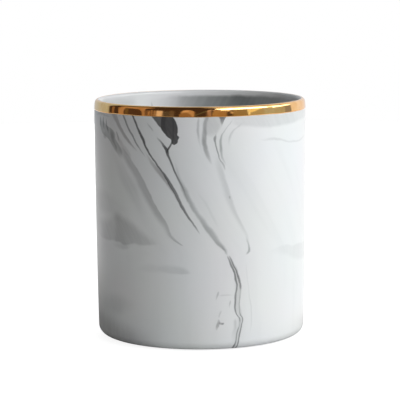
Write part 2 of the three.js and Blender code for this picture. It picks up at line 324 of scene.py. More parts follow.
BACK_VEINS = {
    "back long vein": ("charcoal", 0.45, 0.45, [
        (93, -22, 0.6, 0.85), (86, -19.5, 0.8, 0.92), (80, -14, 0.65, 0.88), (74, -11.5, 0.65, 0.82),
        (66, -3.5, 0.9, 0.92), (59, 3, 0.65, 0.85), (52, 6.5, 0.55, 0.78), (46, 13, 0.4, 0.5),
        (42, 16.5, 0.1, 0)]),
    "shade beside the back long vein": ("umber", 1.3, 0.6, [
        (79, -15.5, 0.3, 0), (73, -12.5, 1.4, 0.45), (67, -6.3, 1.6, 0.58), (62, -1.7, 1, 0.35),
        (57, 2.6, 0.4, 0)]),
    "back broad band": ("charcoal", 2.2, 0.8, [
        (91, -50, 1.5, 0), (84, -44, 2.2, 0.3), (75, -36, 2.4, 0.34), (66, -28.5, 2, 0.32),
        (58, -24, 2.3, 0.36), (50, -16, 1.8, 0.33), (44, -9, 1.1, 0.38), (40, -3, 0.4, 0)]),
    "back pool": ("charcoal", 0.4, 0.4, [
        (36, -34, 0.1, 0), (33.5, -32.8, 1.1, 0.92), (30, -31.7, 2.2, 1), (26, -29.8, 3.1, 1),
        (22, -26.4, 2.9, 1), (18.5, -23.8, 1.5, 0.97), (15.5, -21.8, 0.7, 0.9), (11, -21.5, 0.5, 0.75),
        (5, -19, 0.55, 0.65), (-1, -18.4, 0.5, 0.6)]),
    "back pool's thin edge": ("charcoal", 0.8, 0.5, [
        (33, -36.5, 0.4, 0), (29, -36.5, 1.8, 0.6), (24.5, -33.5, 2.4, 0.72), (20, -28.5, 1.8, 0.7),
        (16.5, -24, 0.5, 0)]),
    "line into the back pool": ("charcoal", 0.45, 0.45, [
        (63, -57, 0.1, 0), (55, -51, 0.5, 0.45), (47, -43, 0.55, 0.6), (40, -38, 0.6, 0.78),
        (35, -33.8, 0.8, 0.9), (32.5, -32.5, 0.3, 0)]),
    "back left fork": ("charcoal", 0.45, 0.45, [
        (93, 24, 0.5, 0.6), (87, 26.5, 0.6, 0.68), (82, 31.5, 0.6, 0.55), (77, 34, 0.4, 0.3),
        (73, 37.5, 0.1, 0)]),
    "back right fork": ("charcoal", 0.5, 0.45, [
        (93, 33.4, 1.8, 0.8), (90, 32.4, 1.1, 0.8), (86, 31.8, 0.7, 0.75), (83, 33, 0.6, 0.7),
        (78, 38, 0.6, 0.68), (70, 43.5, 0.7, 0.7), (62, 51, 0.6, 0.58), (54, 55.5, 0.65, 0.5),
        (45, 64, 0.45, 0.35), (40, 68, 0.1, 0)]),
    "back ribbon": ("slate", 0.9, 1.4, [
        (77, 36.5, 0.4, 0), (68, 42, 1.5, 0.42), (60, 49, 1.8, 0.5), (50, 55, 2.1, 0.58),
        (42, 61.5, 1.7, 0.58), (37, 64.5, 1.1, 0.56), (34, 66, 0.4, 0)]),
    "back left twin": ("charcoal", 0.35, 0.35, [
        (37, 63.5, 0.2, 0), (33, 65.5, 0.55, 0.66), (26, 69, 0.6, 0.68), (20, 68, 0.5, 0.6),
        (14, 69.5, 0.5, 0.6), (8, 72.5, 0.45, 0.5), (-1, 71.5, 0.5, 0.6)]),
    "back right twin": ("charcoal", 0.35, 0.35, [
        (36, 65.7, 0.2, 0), (31, 68.5, 0.5, 0.6), (25, 71.5, 0.55, 0.62), (19, 70.6, 0.4, 0.34),
        (12, 72.5, 0.45, 0.55), (6, 74.3, 0.45, 0.52), (-1, 73.5, 0.45, 0.6)]),
    "back arc": ("charcoal", 0.7, 0.8, [
        (93, 3.5, 0.9, 0.3), (87, 2.2, 1.1, 0.42), (81, 3.2, 1.2, 0.5), (76, 7, 0.9, 0.34),
        (73, 10, 0.4, 0)]),
    "back thin arc": ("charcoal", 0.45, 0.45, [
        (90, 12, 0.2, 0), (86, 9.4, 0.6, 0.5), (82, 9.8, 0.55, 0.56), (78, 12, 0.5, 0.5),
        (74, 14.6, 0.5, 0.34), (71, 16.4, 0.2, 0)]),
    "back hooked band": ("slate", 2, 0.8, [
        (72, 12, 1, 0), (66, 14.5, 1.8, 0.2), (58, 18, 2, 0.22), (50, 23.5, 1.8, 0.2),
        (42, 30.5, 1.4, 0.22), (36, 35, 1, 0.34), (33.5, 34.6, 0.9, 0.36), (31.5, 32, 0.5, 0)]),
    "back smudge": ("slate", 2, 1.6, [
        (27, 3, 1, 0), (24, 5, 2.4, 0.3), (20, 9, 3.2, 0.42), (16, 13, 2.8, 0.4), (12.5, 17, 1.6, 0.2),
        (10, 19, 1, 0)]),
    "back smudge's heart": ("charcoal", 0.8, 0.8, [
        (24, 6.2, 0.4, 0), (21, 8.5, 1.2, 0.34), (17.5, 11.5, 1.1, 0.34), (14.5, 14.5, 0.5, 0)]),
}

# Veins that run round the wall, and some painted shade drawn the same way: the same, with the lower and
# the upper edge, and stations of (angle, height above the foot, half width, darkness)
FRONT_DRIFTS = {
    # Painted shade: the lower left of the wall darkens towards the foot, on the side away from the lamps.
    "painted shade at the left of the foot": ("umber", 4, 9, [
        (-112, 1, 14, 0), (-85, 1, 14, 0.1), (-66, 1.4, 12, 0.3), (-50, 0.6, 11, 0.34), (-36, 0, 10, 0.24),
        (-22, -1, 8, 0)]),
    # Painted shade: a thin grey band just under the gold's left end.
    "painted shade under the gold's left end": ("umber", 0.5, 0.6, [
        (-80, 90, 0.4, 0), (-73, 90, 0.8, 0.2), (-66, 90.5, 0.7, 0.3), (-59, 90.3, 0.6, 0.2),
        (-53, 90, 0.4, 0)]),
    "cloud": ("charcoal", 1.2, 4.5, [
        (-80, 46, 3, 0), (-70, 45.5, 5, 0.12), (-60, 45.5, 5.4, 0.26), (-55, 46.5, 6, 0.24),
        (-50, 47.3, 7, 0.36), (-45, 46, 6.4, 0.34), (-40, 45.8, 5.6, 0.3), (-35, 44.6, 4.4, 0.27),
        (-30, 43.6, 3.2, 0.24), (-26, 42.8, 2.2, 0.16), (-21, 42.4, 1.2, 0)]),
    "cloud's lower lobe": ("charcoal", 1.5, 3, [
        (-58, 40, 1, 0), (-52, 40, 2, 0.1), (-46, 39.8, 2.3, 0.16), (-41, 40.2, 1.5, 0.08),
        (-37, 40.6, 0.8, 0)]),
    "low haze": ("charcoal", 5, 5, [
        (-76, 14, 4, 0), (-62, 15, 6, 0.1), (-52, 15.6, 6, 0.14), (-44, 16.4, 5, 0.06), (-36, 17, 3, 0)]),
    "haze left of the wedge": ("charcoal", 2, 2, [
        (-38, 31, 1, 0), (-29, 31.8, 2.4, 0.06), (-22, 32, 2.4, 0.07), (-14, 31.6, 2, 0)]),
    "cloud's upper haze": ("charcoal", 4, 4, [
        (-80, 56, 4, 0), (-68, 56, 6, 0.12), (-58, 55, 6, 0.1), (-48, 53, 5, 0.06), (-40, 52, 4, 0)]),
    "wedge": ("slate", 0.8, 2, [
        (-24, 32, 1.2, 0), (-15, 32.3, 2.2, 0.12), (-9, 31.8, 1.7, 0.18), (-6, 31.1, 1, 0.14),
        (-4.5, 30.8, 0.5, 0)]),
    "wave": ("charcoal", 0.5, 0.7, [
        (33, 81.6, 0.4, 0), (40, 81.6, 0.8, 0.12), (46, 81.2, 0.7, 0.15), (52, 80.2, 0.6, 0.14),
        (58, 79.5, 0.6, 0.15), (66, 79.3, 0.6, 0.15), (74, 80, 0.6, 0.12), (82, 81, 0.3, 0)]),
    "wash under the rim": ("slate", 1.6, 1, [
        (15, 88.6, 1.6, 0), (24, 89.4, 3, 0.16), (45, 89.2, 3.6, 0.19), (68, 90, 3.4, 0.15),
        (95, 90.5, 3, 0.05), (110, 91, 2, 0)]),
    "pale cloud": ("charcoal", 2.5, 1, [
        (38, 37, 1, 0), (50, 37, 2.4, 0.06), (58, 35.5, 3, 0.08), (70, 34.5, 4, 0.1), (85, 34, 4, 0.08),
        (100, 35, 2, 0)]),
    "fleck's tail": ("charcoal", 0.4, 0.4, [
        (8.8, 11, 0.3, 0), (10, 10.8, 0.6, 0.4), (11.4, 10.6, 0.6, 0.56), (12.4, 10.8, 0.3, 0)]),
    "thread between the flecks": ("charcoal", 0.4, 0.4, [
        (9, 22.2, 0.3, 0), (12, 21.8, 0.5, 0.14), (15, 21.8, 0.4, 0.14), (18, 21.4, 0.2, 0)]),
}
BACK_DRIFTS = {
    "back cloud": ("charcoal", 1.4, 4, [
        (-84, 60, 3, 0), (-68, 61, 5, 0.24), (-57, 60, 6.5, 0.34), (-48, 62, 5, 0.26), (-40, 65, 2, 0)]),
    "back low cloud": ("charcoal", 1.2, 3.5, [
        (20, 30, 2, 0), (32, 27, 4, 0.2), (44, 24, 5, 0.28), (55, 22, 4.2, 0.2), (64, 22, 2, 0)]),
    "back wave": ("charcoal", 0.5, 0.7, [
        (-74, 21, 0.4, 0), (-64, 23.5, 0.7, 0.2), (-54, 22, 0.7, 0.24), (-46, 18.6, 0.6, 0.2),
        (-39, 18, 0.3, 0)]),
    "back wash under the rim": ("slate", 1.6, 1, [
        (38, 88, 1.6, 0), (48, 89.4, 3, 0.12), (62, 89.2, 3.6, 0.14), (78, 90, 2.6, 0.1),
        (90, 91, 1.5, 0)]),
}
INSIDE_BACK_VEINS = {
    "inner vein": ("charcoal", 1.2, 1.2, [
        (90, -24, 0.6, 0), (84, -27.5, 1.4, 0.1), (74, -31, 1.2, 0.5), (62, -37, 1, 0.5),
        (50, -40, 0.5, 0)]),
    "inner band": ("slate", 2, 1, [
        (80, 0, 1, 0), (72, 5, 2.4, 0.35), (58, 13, 2, 0.34), (44, 24, 1.4, 0.3), (36, 29, 0.5, 0)]),
    "inner thread": ("charcoal", 0.5, 0.5, [
        (88, 62, 0.2, 0), (80, 66, 0.6, 0.4), (70, 72, 0.6, 0.5), (58, 80, 0.5, 0.4), (46, 90, 0.2, 0)]),
    "inner stroke": ("charcoal", 0.4, 0.4, [
        (91, -30.6, 0.2, 0), (89, -30.2, 0.5, 0.3), (86, -29.2, 0.5, 0.34), (83, -27.8, 0.2, 0)]),
}
INSIDE_BACK_DRIFTS = {
    # Painted shadow: the front rim's shadow on the inner back wall, dark below a lit strip under the back
    # rim and darkest right of the middle.
    "painted shadow of the front rim": ("slate", 8, 1.7, [
        (-38, 86, 6, 0), (-24, 84, 9, 0.1), (-16, 83, 10.4, 0.26), (-8, 82.6, 11, 0.5),
        (2, 82.2, 11.3, 0.64), (16, 82, 11.6, 0.74), (27, 81.8, 12, 0.84), (37, 81.4, 12.4, 0.72),
        (48, 80.4, 13.4, 0.62), (60, 79.4, 14.4, 0.4), (80, 79, 12, 0)]),
    "inner wash": ("slate", 5, 4, [
        (-128, 85.5, 7, 0), (-88, 86, 8, 0.24), (-66, 86.5, 9, 0.22), (-50, 86, 9, 0.2),
        (-40, 85.5, 8, 0)]),
}
INSIDE_FRONT_VEINS = {
    "inner front vein": ("charcoal", 0.5, 0.6, [
        (95, -34, 0.6, 0.6), (84, -28, 0.8, 0.7), (70, -20, 0.7, 0.6), (56, -8, 0.8, 0.6),
        (42, 0, 0.4, 0.3), (36, 4, 0.1, 0)]),
    "inner front band": ("slate", 2.2, 1, [
        (95, 12, 2, 0.3), (80, 20, 2.6, 0.36), (64, 30, 2.2, 0.36), (46, 44, 1.6, 0.3), (34, 54, 0.6, 0)]),
}

# The studio's white paper: its size and smoothness, the pale shade that takes the shadow, the white that
# lights the foot from below, and how brightly the camera sees it glow near the cup and further out
FLOOR_RADIUS = 0.9
FLOOR_STEPS = 96
PAPER_COLOUR = (0.32, 0.32, 0.32, 1)
PAPER_BOUNCE = (0.7, 0.7, 0.7, 1)
PAPER_ROUGHNESS = 0.8
PAPER_GLOW = (0.9, 1)
PAPER_GLOW_REACH = (0.05, 0.3)

# The paper as mirrors see it: it begins behind this line, it lies in shade round the foot out to a distance
# that differs on the left and on the right, and so does how bright it is
PAPER_EDGE = (-0.2, -0.15)
LEFT_TO_RIGHT = (-0.06, 0.06)
SHADE_START = 0.043
MIRRORED_SHADE = (0.24, 0.08)
# Painted light: as mirrors see it, the paper glows brighter on the right, the lamps' side.
MIRRORED_PAPER = (0.85, 1)

# The backdrop as mirrors see it: its white on the left and on the right, and where it gives way to the room
BACKDROP_LEFT = (0.52, 0.58, 0.62, 1)
BACKDROP_RIGHT = (1.0, 0.93, 0.95, 1)
BACKDROP_SPREAD = (-0.6, 0.6)
BACKDROP_EDGE = (0.42, 0.48)

# Light: what comes evenly from all sides, and the lamps, placed in metres from the cup's middle
AMBIENT = (0.12, 0.12, 0.12, 1)
WHITE = (1, 1, 1, 1)
KEY_LAMP = {
    "azimuth": 50,
    "elevation": 28,
    "distance": 0.9,
    "size": (0.95, 0.36),
    "power": 6.4,
    "colour": (0.94, 0.98, 1),
}
SIDE_LAMP = {
    "azimuth": 100,
    "elevation": 21,
    "distance": 0.9,
    "size": (0.5, 0.3),
    "power": 1.55,
    "colour": (0.96, 0.99, 1),
}
BACK_LAMP = {
    "azimuth": 184,
    "elevation": 20,
    "distance": 0.9,
    "size": (0.44, 0.3),
    "power": 3.3,
    "colour": (1, 0.99, 0.97),
    "mirrored": False,
}

# What the gold mirrors of the room in front of the backdrop: middle azimuth, half width, middle elevation,
# half height, corner round, rise to the right and colour. Azimuth 0 is the camera's side, and it grows to
# the right.
ROOM_COLOUR = (0.06, 0.036, 0.025)
ROOM_BLUR = 0.8
ROOM = [
    ("left wall", -107.8, 2.4, -6, 16, 1, 0, (0.26, 0.15, 0.08)),
    ("left arch", -79.6, 18.4, -10, 66, 20, 0, (0.45, 0.28, 0.17)),
    ("hollow of the left arch", -77.6, 13.4, -10, 20.5, 10, 0, (0.085, 0.048, 0.03)),
    ("top of the left arch", -89.6, 17, 38, 6, 4, 0.37, (0.5, 0.31, 0.19)),
    ("glow in the hollow", -85.5, 2.6, 0, 11, 2, 0, (0.15, 0.1, 0.045)),
    ("shelf", -54, 6.4, -12, 22, 3, 0, (0.17, 0.1, 0.065)),
    ("first pillar", -57, 0.5, -12, 20, 0.8, 0, (0.6, 0.36, 0.2)),
    ("second pillar", -53.2, 0.5, -12, 23, 0.8, 0, (0.55, 0.35, 0.21)),
    ("third pillar", -49.6, 0.5, -12, 22, 0.8, 0, (0.58, 0.38, 0.23)),
    ("window", -44.1, 3.3, -12, 22, 1.2, 0, (0.78, 0.62, 0.55)),
    ("olive pillar", -36.8, 4.2, -12, 21, 1, 0, (0.1, 0.082, 0.07)),
    ("brown pillar", -30, 2.6, -12, 23, 1, 0, (0.16, 0.12, 0.1)),
    ("middle arch", -13.2, 6.8, -20, 34, 6.8, 0, (0.52, 0.33, 0.2)),
    ("lit top of the middle arch", -15, 3.8, 10.6, 2, 2, -0.1, (0.7, 0.45, 0.3)),
    ("hollow of the middle arch", -16, 6.2, -24, 30, 6, 0, (0.3, 0.17, 0.085)),
    ("olive streak", 1, 7, 5, 1.6, 1, 0.9, (0.13, 0.12, 0.08)),
    ("left spark", 10, 2.2, 2, 10, 2, 0, (0.42, 0.27, 0.22)),
    ("left spark's tip", 10.5, 2.6, 13, 1.8, 1, 0.8, (0.62, 0.42, 0.36)),
    ("amber screen", 21, 7.5, 0, 14, 7, 0.2, (0.4, 0.25, 0.12)),
    ("amber light", 17.5, 4, 13.5, 1.4, 1, 0.5, (0.66, 0.46, 0.36)),
    ("first spark", 31, 1.8, 12.5, 2.4, 1, 0.8, (1.2, 0.9, 0.6)),
    ("second spark", 34.8, 1.4, 6, 2.6, 1, -1, (0.95, 0.72, 0.55)),
    ("brown screen", 44, 8, 2, 13, 2, 0, (0.33, 0.25, 0.14)),
    ("wall on the right", 93, 22, 20, 60, 1, 0, (0.5, 0.53, 0.5)),
    ("wedge", 63.5, 10, 0, 16, 1, 0, (0.47, 0.42, 0.29)),
    ("lit face of the wedge", 64, 9.5, 11, 4.5, 2, 0.45, (1.05, 0.9, 0.5)),
    ("upright edge of the wedge", 54, 1.4, 6, 9, 1, 0, (1.15, 1.1, 0.8)),
    ("cream streak", 91, 18, 13.5, 1.6, 1, 0.1, (1.0, 1.05, 0.95)),
    ("dark edge of the wall", 110, 4.5, 20, 60, 1, 0, (0.33, 0.32, 0.34)),
    ("ceiling on the right", 72, 42, 61, 34, 20, -0.12, (1.3, 1.2, 1.15)),
]


def wall_radius(z):
    """Outer wall's radius at a height: a straight taper with a slight swell."""
    t = (z - WALL_FOOT_Z) / (WALL_TOP_Z - WALL_FOOT_Z)
    return BASE_RADIUS + WALL_TAPER * t + 4 * WALL_SWELL * t * (1 - t)


def wall(from_z, to_z, steps, inset=0):
    """Points of the outer wall between two heights, set in by a depth."""
    heights = [from_z + (to_z - from_z) * i / steps for i in range(steps + 1)]
    return [(wall_radius(z) - inset, z) for z in heights]


def arc(centre_r, centre_z, radius, from_deg, to_deg, steps):
    """Points of an arc in the section plane."""
    points = []
    for i in range(steps + 1):
        angle = math.radians(from_deg + (to_deg - from_deg) * i / steps)
        points.append((centre_r + radius * math.cos(angle), centre_z + radius * math.sin(angle)))
    return points


def straight(start, end, steps):
    """Points of a straight stretch of a section, without its two ends."""
    return [tuple(a + (b - a) * i / steps for a, b in zip(start, end)) for i in range(1, steps)]


def turned(name, section, closed=False, centre=(0, 0), steps=CUP_TURN_STEPS):
    """Spins a section, a list of (radius, height), round an upright axis into a closed solid."""
    shape = bmesh.new()
    verts = [shape.verts.new((r * MM, 0, z * MM)) for r, z in section]
    pairs = zip(verts, verts[1:] + verts[:1] if closed else verts[1:])
    edges = [shape.edges.new(pair) for pair in pairs]
    bmesh.ops.spin(
        shape,
        geom=verts + edges,
        cent=(0, 0, 0),
        axis=(0, 0, 1),
        angle=math.tau,
        steps=steps,
        use_merge=True,
    )
    bmesh.ops.remove_doubles(shape, verts=shape.verts, dist=MERGE_DISTANCE)
    bmesh.ops.translate(shape, verts=shape.verts, vec=(centre[0] * MM, centre[1] * MM, 0))
    bmesh.ops.recalc_face_normals(shape, faces=shape.faces)
    for face in shape.faces:
        face.smooth = True
    return add_object(name, shape)


def add_object(name, shape):
    """Turns a finished bmesh into an object of the scene."""
    mesh = bpy.data.meshes.new(name)
    shape.to_mesh(mesh)
    shape.free()
    made = bpy.data.objects.new(name, mesh)
    bpy.context.scene.collection.objects.link(made)
    return made


def lustre_line(inset, lip_end, from_z=LUSTRE_FOOT_Z):
    """The gold's outer line, or one set in from it: up the wall, leaning in, and over the lip's round."""
    rise = LEAN_TOP_Z - LUSTRE_FOOT_Z
    lean = math.radians(LUSTRE_LEAN)
    line = []
    for r, z in wall(from_z, LEAN_TOP_Z, LEAN_STEPS, inset):
        above = max(0, z - LUSTRE_FOOT_Z)
        line.append((r - math.tan(lean) * above * above / (2 * rise), z))
    centre_r = line[-1][0] + inset - LIP_ROUND * math.cos(lean)
    return line + arc(centre_r, WALL_TOP_Z, LIP_ROUND - inset, LUSTRE_LEAN, lip_end, ROUND_STEPS)[1:]


def make_cup():
    """The cup, from the middle of its underside round to the middle of its floor."""
    recess_z = UNDERSIDE_Z - RECESS_ROUND
    section = [(0, UNDERSIDE_Z)]
    section += arc(RECESS_RADIUS - RECESS_ROUND, recess_z, RECESS_ROUND, 90, 0, RECESS_STEPS)
    section += [(RECESS_RADIUS, FOOT_Z + RING_EDGE), (RECESS_RADIUS + RING_EDGE, FOOT_Z)]
    section += arc(FOOT_RING_RADIUS, WALL_FOOT_Z, FOOT_ROUND, -90, 0, ROUND_STEPS)
    section += wall(WALL_FOOT_Z, LUSTRE_FOOT_Z - SEAT_RUN_IN, WALL_STEPS)[1:]
    section += lustre_line(LUSTRE_SEAT, SEAT_END, LUSTRE_FOOT_Z - SEAT_OVERLAP)
    section += arc(LIP_CENTRE, WALL_TOP_Z, LIP_ROUND, INNER_LIP_START, 180, INNER_LIP_STEPS)
    section += straight((INNER_RIM_RADIUS, WALL_TOP_Z), (INNER_BASE_RADIUS, COVE_Z), INNER_WALL_STEPS)
    section += arc(INNER_BASE_RADIUS - COVE_RADIUS, COVE_Z, COVE_RADIUS, 0, -90, ROUND_STEPS)
    section += [(0, FLOOR_Z)]
    return turned("glazed_cup", section)


def make_gold():
    """The lustre: a thin film up the wall and over the outer half of the lip, its lower edge uneven."""
    outer = lustre_line(0, GOLD_END)
    inner = lustre_line(LUSTRE_FILM, GOLD_END)
    gold = turned("gold_lustre_rim", outer + inner[::-1], closed=True)
    for vert in gold.data.vertices:
        angle = math.atan2(vert.co.y, vert.co.x)
        wander = sum(size * math.sin(count * angle + math.radians(lag)) for size, count, lag in EDGE_WAVES)
        hold = max(0, 1 - (vert.co.z / MM - LUSTRE_FOOT_Z) / EDGE_REACH)
        vert.co.z += wander * hold * MM
    return gold


def make_pad(node):
    """One soft pad, with its lower edge rounded, where the frame has it."""
    low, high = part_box(node)
    radius = (high.x - low.x) / 2 / MM
    foot_z = low.z / MM
    top_z = high.z / MM
    section = [(0, foot_z)]
    section += arc(radius - PAD_EDGE, foot_z + PAD_EDGE, PAD_EDGE, -90, 0, PAD_EDGE_STEPS)
    section += [(radius, top_z), (0, top_z)]
    middle = (low + high) / 2 / MM
    return turned("soft_" + node, section, centre=(middle.x, middle.y), steps=PAD_TURN_STEPS)


def add_node(tree, kind, **settings):
    """A shader node with its settings."""
    made = tree.nodes.new("ShaderNode" + kind)
    for name, value in settings.items():
        setattr(made, name, value)
    return made


def plug(tree, socket, value):
    """Wires a node's output to a socket, or sets the socket to a plain value."""
    if isinstance(value, bpy.types.NodeSocket):
        tree.links.new(value, socket)
    else:
        socket.default_value = value


def plug_all(tree, sockets, values):
    """Does the same with a row of sockets."""
    for socket, value in zip(sockets, values):
        plug(tree, socket, value)


def calc(tree, operation, *values):
    """A Math node's result."""
    made = add_node(tree, "Math", operation=operation)
    plug_all(tree, made.inputs, values)
    return made.outputs[0]


def vector(tree, operation, *values):
    """A Vector Math node's result."""
    made = add_node(tree, "VectorMath", operation=operation)
    plug_all(tree, made.inputs, values)
    return made.outputs["Value" if operation == "LENGTH" else "Vector"]


def split(tree, place):
    """A vector's three parts."""
    parts = add_node(tree, "SeparateXYZ")
    plug(tree, parts.inputs[0], place)
    return parts.outputs


def ramp(tree, value, from_low, from_high, to_low, to_high, smooth=True):
    """Maps a value from one range to another, held at both ends."""
    made = add_node(tree, "MapRange", interpolation_type="SMOOTHSTEP" if smooth else "LINEAR")
    plug_all(tree, made.inputs, (value, from_low, from_high, to_low, to_high))
    return made.outputs[0]


def noise(tree, place, size, detail):
    """Noise in lumps of about a size in millimetres. Its first output is a value, its second a colour."""
    made = add_node(tree, "TexNoise")
    plug(tree, made.inputs["Vector"], place)
    made.inputs["Scale"].default_value = 1 / (size * MM)
    made.inputs["Detail"].default_value = detail
    return made.outputs


def blend(tree, under, over, amount, blend_type="MIX"):
    """One colour laid over another, as far as the amount from 0 to 1 says."""
    made = add_node(tree, "Mix", data_type="RGBA", blend_type=blend_type)
    plug_all(tree, [made.inputs[i] for i in MIX_INPUTS], (amount, under, over))
    return made.outputs[MIX_OUTPUT]


def stain(tree, colour, ink, amount):
    """A colour with an ink laid over it, which lets the colour through, as far as the amount says."""
    return blend(tree, colour, ink, amount, "MULTIPLY")


def make_bump(tree, height, depth):
    """A bump whose full height is a depth in millimetres."""
    made = add_node(tree, "Bump")
    made.inputs["Distance"].default_value = depth * MM
    plug(tree, made.inputs["Height"], height)
    return made.outputs[0]


def new_material(name):
    """A material with its node tree, its shader and its place on the piece."""
    made = bpy.data.materials.new(name)
    made.use_nodes = True
    tree = made.node_tree
    return made, tree, tree.nodes["Principled BSDF"], add_node(tree, "TexCoord").outputs["Object"]


def stroke_group():
    """What all veins share: from a vein's course and a point, how much it leaves clear of its ink."""
    group = bpy.data.node_groups.new("vein", "ShaderNodeTree")
    for name in ("Across", "Low", "Span", "Widest", "Low fade", "High fade", "Clear"):
        group.interface.new_socket(name, in_out="INPUT", socket_type="NodeSocketFloat")
    group.interface.new_socket("Course", in_out="INPUT", socket_type="NodeSocketColor")
    group.interface.new_socket("Clear", in_out="OUTPUT", socket_type="NodeSocketFloat")
    given = group.nodes.new("NodeGroupInput").outputs
    parts = add_node(group, "SeparateColor")
    plug(group, parts.inputs[0], given["Course"])
    middle = calc(group, "MULTIPLY_ADD", parts.outputs[0], given["Span"], given["Low"])
    half = calc(group, "MULTIPLY", parts.outputs[1], given["Widest"])
    offset = calc(group, "SUBTRACT", given["Across"], middle)
    low_side = ramp(group, calc(group, "ADD", half, offset), 0, given["Low fade"], 0, 1)
    high_side = ramp(group, calc(group, "SUBTRACT", half, offset), 0, given["High fade"], 0, 1)
    dark = calc(group, "MULTIPLY", calc(group, "MULTIPLY", low_side, high_side), parts.outputs[2])
    result = group.nodes.new("NodeGroupOutput").inputs["Clear"]
    plug(group, result, calc(group, "MULTIPLY", given["Clear"], calc(group, "SUBTRACT", 1, dark)))
    return group


def bend_curve(curve, places, heights, handle):
    """Leads one curve of an RGB Curves node through its heights at places from 0 to 1."""
    last = len(places) - 1
    for i, (place, height) in enumerate(zip(places, heights)):
        if i in (0, last):
            curve.points[min(i, len(curve.points) - 1)].location = (place, height)
        else:
            curve.points.new(place, height)
    for point in curve.points:
        point.handle_type = handle


def stroke(tree, group, clear, along, across, stations, low_fade, high_fade):
    """Draws one vein: what it leaves clear of its ink at a point so far along it and across it, in mm."""
    starts, middles, halves, darks = zip(*sorted(stations))
    low = min(middles)
    span = max(middles) - low
    widest = max(halves)
    places = [(start - starts[0]) / (starts[-1] - starts[0]) for start in starts]
    course = add_node(tree, "RGBCurve")
    plug(tree, course.inputs["Color"], ramp(tree, along, starts[0], starts[-1], 0, 1, smooth=False))
    red, green, blue = course.mapping.curves[:3]
    bend_curve(red, places, [(middle - low) / span for middle in middles], "AUTO")
    bend_curve(green, places, [half / widest for half in halves], "AUTO_CLAMPED")
    bend_curve(blue, places, darks, "AUTO_CLAMPED")
    course.mapping.update()
    vein = add_node(tree, "Group", node_tree=group)
    given = (across, low, span, widest, low_fade, high_fade, clear, course.outputs[0])
    plug_all(tree, vein.inputs, given)
    return vein.outputs[0]


def arc_length(degrees):
    """How far round the wall an angle reaches."""
    return math.radians(degrees) * RIM_RADIUS


def chart(tree, place, facing):
    """The wall unrolled from one side: millimetres round it, and millimetres above its foot."""
    scale = (facing[0], facing[1], 1 / MM)
    x, y, z = split(tree, vector(tree, "MULTIPLY", place, scale))
    around = calc(tree, "MULTIPLY", calc(tree, "ARCTAN2", x, y), RIM_RADIUS)
    return around, calc(tree, "SUBTRACT", z, FOOT_Z)


def marble(tree, group, place, sheets):
    """What is left clear of each ink after all the veins of some sheets, (facing, veins, drifts)."""
    clear = dict.fromkeys(INKS, 1)
    for facing, veins, drifts in sheets:
        around, height = chart(tree, place, facing)
        for ink, left, right, stations in veins.values():
            course = [(h, arc_length(angle), half, dark) for h, angle, half, dark in stations]
            clear[ink] = stroke(tree, group, clear[ink], height, around, course, left, right)
        for ink, lower, upper, stations in drifts.values():
            course = [(arc_length(angle), h, half, dark) for angle, h, half, dark in stations]
            clear[ink] = stroke(tree, group, clear[ink], around, height, course, lower, upper)
    return clear


def dragged(tree, place):
    """The place turned back along the marbling's drag, so that noise read there is drawn out along it."""
    above_bend = calc(tree, "SUBTRACT", split(tree, place)[2], (DRAG_BEND + FOOT_Z) * MM)
    angle = calc(tree, "MULTIPLY", calc(tree, "MAXIMUM", above_bend, 0), math.radians(DRAG_PER_MM) / MM)
    turn = add_node(tree, "VectorRotate", rotation_type="Z_AXIS")
    plug(tree, turn.inputs["Vector"], place)
    plug(tree, turn.inputs["Angle"], angle)
    return vector(tree, "MULTIPLY", turn.outputs[0], (1, 1, DRAG_STRETCH))


def glaze(name, group, sheets, unevenness):
    """White glaze with the veins and painted shade of some sheets in it, each a little ragged, over a faint
    clouding.
    """
    made, tree, shader, place = new_material(name)
    jitter = vector(tree, "SUBTRACT", noise(tree, place, size=6, detail=4)[1], (0.5, 0.5, 0.5))
    loose = vector(tree, "ADD", place, vector(tree, "MULTIPLY", jitter, (VEIN_WANDER * MM,) * 3))
    flow = dragged(tree, place)
    clear = marble(tree, group, loose, sheets)
    clouds = ramp(tree, noise(tree, flow, size=7, detail=2)[0], 0.45, 0.75, 0, CLOUDING)
    clear["slate"] = calc(tree, "MULTIPLY", clear["slate"], calc(tree, "SUBTRACT", 1, clouds))
    streaks = noise(tree, flow, size=1.6, detail=3)[0]
    strength = ramp(tree, streaks, *NOISE_SPAN, 1 - unevenness, 1 + unevenness)
    hues = noise(tree, place, size=28, detail=1)[1]
    colour = stain(tree, GLAZE_WHITE, hues, WHITE_HUES)
    for ink, left in clear.items():
        amount = calc(tree, "SUBTRACT", 1, calc(tree, "POWER", left, strength))
        colour = stain(tree, colour, INKS[ink], amount)
    polish = noise(tree, place, size=16, detail=1)[0]
    ripple = noise(tree, place, size=3, detail=2)[0]
    plug(tree, shader.inputs["Base Color"], colour)
    plug(tree, shader.inputs["Roughness"], ramp(tree, polish, *NOISE_SPAN, *GLAZE_ROUGHNESS))
    plug(tree, shader.inputs["Normal"], make_bump(tree, ripple, GLAZE_RIPPLE))
    return made


def bare_clay():
    """The unglazed foot ring: off-white, matt and finely pitted."""
    made, tree, shader, place = new_material("bare clay")
    grain = noise(tree, place, size=0.35, detail=3)[0]
    colour = stain(tree, CLAY, CLAY_PITS, ramp(tree, grain, 0.55, 0.75, 0, 0.8))
    plug(tree, shader.inputs["Base Color"], colour)
    plug(tree, shader.inputs["Roughness"], ramp(tree, grain, *NOISE_SPAN, *CLAY_ROUGHNESS))
    plug(tree, shader.inputs["Normal"], make_bump(tree, grain, CLAY_GRAIN_DEPTH))
    return made


